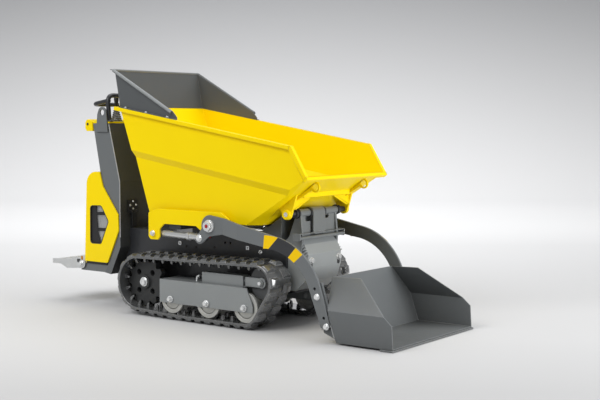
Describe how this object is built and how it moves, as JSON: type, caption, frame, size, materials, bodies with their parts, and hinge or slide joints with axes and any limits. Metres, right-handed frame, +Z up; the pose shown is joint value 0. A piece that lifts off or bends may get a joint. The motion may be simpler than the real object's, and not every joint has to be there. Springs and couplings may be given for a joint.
{
  "type": "tracked power carrier",
  "caption": "Walk-behind tracked carrier with a forward tipping skip, a curved-arm self-loading shovel, rubber tracks, a console column and a folding step.",
  "frame": {"origin": "on the ground under the middle of the machine's length and width", "axes": "+X forward towards the shovel, +Y to the machine's left, +Z up"},
  "size_m": [2.564, 0.81, 1.391],
  "materials": {
    "yellow_paint": "gloss powder coat",
    "grey_paint": "satin powder coat",
    "light_grey_paint": "satin powder coat",
    "black_paint": "satin paint",
    "worn_steel": "worn paint over steel",
    "cast_grey": "painted casting",
    "rubber": "moulded",
    "zinc": "zinc plated",
    "chrome_rod": "polished",
    "black_plastic": "grained",
    "galvanised": "hot dip galvanised"
  },
  "bodies": {
    "chassis": {"chassis_frame": "black_paint", "front_cover": "light_grey_paint", "frame_bolts": "zinc", "hinge_tower": "grey_paint", "skip_hinge_shaft": "black_paint", "rear_subframe": "grey_paint", "loader_cross_beam": "black_paint", "loader_bracket_right": "yellow_paint", "loader_bracket_left": "yellow_paint", "track_frame_right": "light_grey_paint", "track_frame_left": "light_grey_paint", "roller_axles": "zinc", "tensioner_right": "light_grey_paint", "tensioner_left": "light_grey_paint", "track_belt_right": "rubber", "track_belt_left": "rubber", "drive_motor_right": "black_paint", "drive_motor_left": "black_paint", "column": "grey_paint", "lift_plates": "grey_paint", "console_top": "yellow_paint", "console_cap": "yellow_paint", "handlebar": "black_paint", "lever_bellows": "rubber", "latch_plate": "black_plastic", "engine_hood": "yellow_paint", "hood_grille": "black_plastic", "engine": "cast_grey", "hydraulic_pump": "black_paint", "oil_tank": "black_paint"},
    "skip_tub": {"skip": "yellow_paint", "skip_brackets": "yellow_paint", "spill_guard": "grey_paint", "guard_bolts": "zinc"},
    "loader": {"arm_right": "grey_paint", "arm_left": "grey_paint", "arm_bosses": "zinc", "shovel": "grey_paint", "cutting_edge": "worn_steel", "shovel_bolts": "zinc"},
    "lift_barrel_pair": {"lift_barrels": "chrome_rod"},
    "lift_rod_pair": {"lift_rods": "chrome_rod"},
    "ram_barrel": {"tip_ram_barrel": "black_paint"},
    "ram_rod": {"tip_ram_rod": "chrome_rod"},
    "right_sprocket": {"sprocket_right": "cast_grey"},
    "right_fork": {"idler_fork_right": "light_grey_paint"},
    "right_idler": {"idler_right": "cast_grey"},
    "right_roller_1": {"roller_right_1": "cast_grey"},
    "right_roller_2": {"roller_right_2": "cast_grey"},
    "right_roller_3": {"roller_right_3": "cast_grey"},
    "right_lever": {"lever_right": "black_plastic"},
    "left_sprocket": {"sprocket_left": "cast_grey"},
    "left_fork": {"idler_fork_left": "light_grey_paint"},
    "left_idler": {"idler_left": "cast_grey"},
    "left_roller_1": {"roller_left_1": "cast_grey"},
    "left_roller_2": {"roller_left_2": "cast_grey"},
    "left_roller_3": {"roller_left_3": "cast_grey"},
    "left_lever": {"lever_left": "black_plastic"},
    "latch": {"latch_handle": "black_plastic"},
    "step": {"platform": "galvanised"}
  },
  "joints": [
    {"name": "skip_tip", "type": "hinge", "parent": "chassis", "child": "skip_tub", "pos_m": [0.546, 0, 0.615], "axis": [0, 1, 0], "range_deg": [0, 75]},
    {"name": "arm_lift", "type": "hinge", "parent": "chassis", "child": "loader", "pos_m": [0.111, 0, 0.54], "axis": [0, 1, 0], "range_deg": [-110, 0]},
    {"name": "lift_barrel_swing", "type": "hinge", "parent": "chassis", "child": "lift_barrel_pair", "pos_m": [-0.314, 0, 0.477], "axis": [0, 1, 0], "range_deg": [-3.48, 0.3]},
    {"name": "lift_rod_slide", "type": "slide", "parent": "lift_barrel_pair", "child": "lift_rod_pair", "axis": [0.9998, 0, -0.0199], "range_m": [0, 0.165]},
    {"name": "ram_barrel_swing", "type": "hinge", "parent": "chassis", "child": "ram_barrel", "pos_m": [0.196, 0, 0.25], "axis": [0, 1, 0], "range_deg": [-11.04, 0.3]},
    {"name": "ram_rod_slide", "type": "slide", "parent": "ram_barrel", "child": "ram_rod", "axis": [0.584, 0, 0.8118], "range_m": [0, 0.1962]},
    {"name": "right_sprocket_spin", "type": "hinge", "parent": "chassis", "child": "right_sprocket", "pos_m": [-0.447, -0.27, 0.186], "axis": [0, 1, 0], "continuous": true},
    {"name": "right_track_tension", "type": "slide", "parent": "chassis", "child": "right_fork", "axis": [1, 0, 0], "range_m": [-0.015, 0]},
    {"name": "right_idler_spin", "type": "hinge", "parent": "right_fork", "child": "right_idler", "pos_m": [0.409, -0.27, 0.25], "axis": [0, 1, 0], "continuous": true},
    {"name": "right_roller_1_spin", "type": "hinge", "parent": "chassis", "child": "right_roller_1", "pos_m": [-0.198, -0.27, 0.116], "axis": [0, 1, 0], "continuous": true},
    {"name": "right_roller_2_spin", "type": "hinge", "parent": "chassis", "child": "right_roller_2", "pos_m": [0.065, -0.27, 0.116], "axis": [0, 1, 0], "continuous": true},
    {"name": "right_roller_3_spin", "type": "hinge", "parent": "chassis", "child": "right_roller_3", "pos_m": [0.328, -0.27, 0.116], "axis": [0, 1, 0], "continuous": true},
    {"name": "right_lever_tilt", "type": "hinge", "parent": "chassis", "child": "right_lever", "pos_m": [-0.878, -0.085, 1.1043], "axis": [0, 1, 0], "range_deg": [-10, 10], "stiffness_Nm_per_rad": 3},
    {"name": "left_sprocket_spin", "type": "hinge", "parent": "chassis", "child": "left_sprocket", "pos_m": [-0.447, 0.27, 0.186], "axis": [0, 1, 0], "continuous": true},
    {"name": "left_track_tension", "type": "slide", "parent": "chassis", "child": "left_fork", "axis": [1, 0, 0], "range_m": [-0.015, 0]},
    {"name": "left_idler_spin", "type": "hinge", "parent": "left_fork", "child": "left_idler", "pos_m": [0.409, 0.27, 0.25], "axis": [0, 1, 0], "continuous": true},
    {"name": "left_roller_1_spin", "type": "hinge", "parent": "chassis", "child": "left_roller_1", "pos_m": [-0.198, 0.27, 0.116], "axis": [0, 1, 0], "continuous": true},
    {"name": "left_roller_2_spin", "type": "hinge", "parent": "chassis", "child": "left_roller_2", "pos_m": [0.065, 0.27, 0.116], "axis": [0, 1, 0], "continuous": true},
    {"name": "left_roller_3_spin", "type": "hinge", "parent": "chassis", "child": "left_roller_3", "pos_m": [0.328, 0.27, 0.116], "axis": [0, 1, 0], "continuous": true},
    {"name": "left_lever_tilt", "type": "hinge", "parent": "chassis", "child": "left_lever", "pos_m": [-0.878, 0.085, 1.1043], "axis": [0, 1, 0], "range_deg": [-10, 10], "stiffness_Nm_per_rad": 3},
    {"name": "latch_swing", "type": "hinge", "parent": "chassis", "child": "latch", "pos_m": [-0.681, -0.14, 0.568], "axis": [0, 1, 0], "range_deg": [-80, 0]},
    {"name": "platform_fold", "type": "hinge", "parent": "chassis", "child": "step", "pos_m": [-1.024, 0, 0.244], "axis": [0, 1, 0], "range_deg": [0, 75]}
  ],
  "couplings": [
    {"joint": "lift_barrel_swing", "follows": "arm_lift", "ratio": 0.028875},
    {"joint": "lift_rod_slide", "follows": "arm_lift", "m_per_rad": -0.085424},
    {"joint": "ram_barrel_swing", "follows": "skip_tip", "ratio": -0.14325},
    {"joint": "ram_rod_slide", "follows": "skip_tip", "m_per_rad": 0.14915},
    {"joint": "right_idler_spin", "follows": "right_sprocket_spin", "ratio": 1.5682},
    {"joint": "right_roller_1_spin", "follows": "right_sprocket_spin", "ratio": 1.6829},
    {"joint": "right_roller_2_spin", "follows": "right_sprocket_spin", "ratio": 1.6829},
    {"joint": "right_roller_3_spin", "follows": "right_sprocket_spin", "ratio": 1.6829},
    {"joint": "left_idler_spin", "follows": "left_sprocket_spin", "ratio": 1.5682},
    {"joint": "left_roller_1_spin", "follows": "left_sprocket_spin", "ratio": 1.6829},
    {"joint": "left_roller_2_spin", "follows": "left_sprocket_spin", "ratio": 1.6829},
    {"joint": "left_roller_3_spin", "follows": "left_sprocket_spin", "ratio": 1.6829}
  ]
}
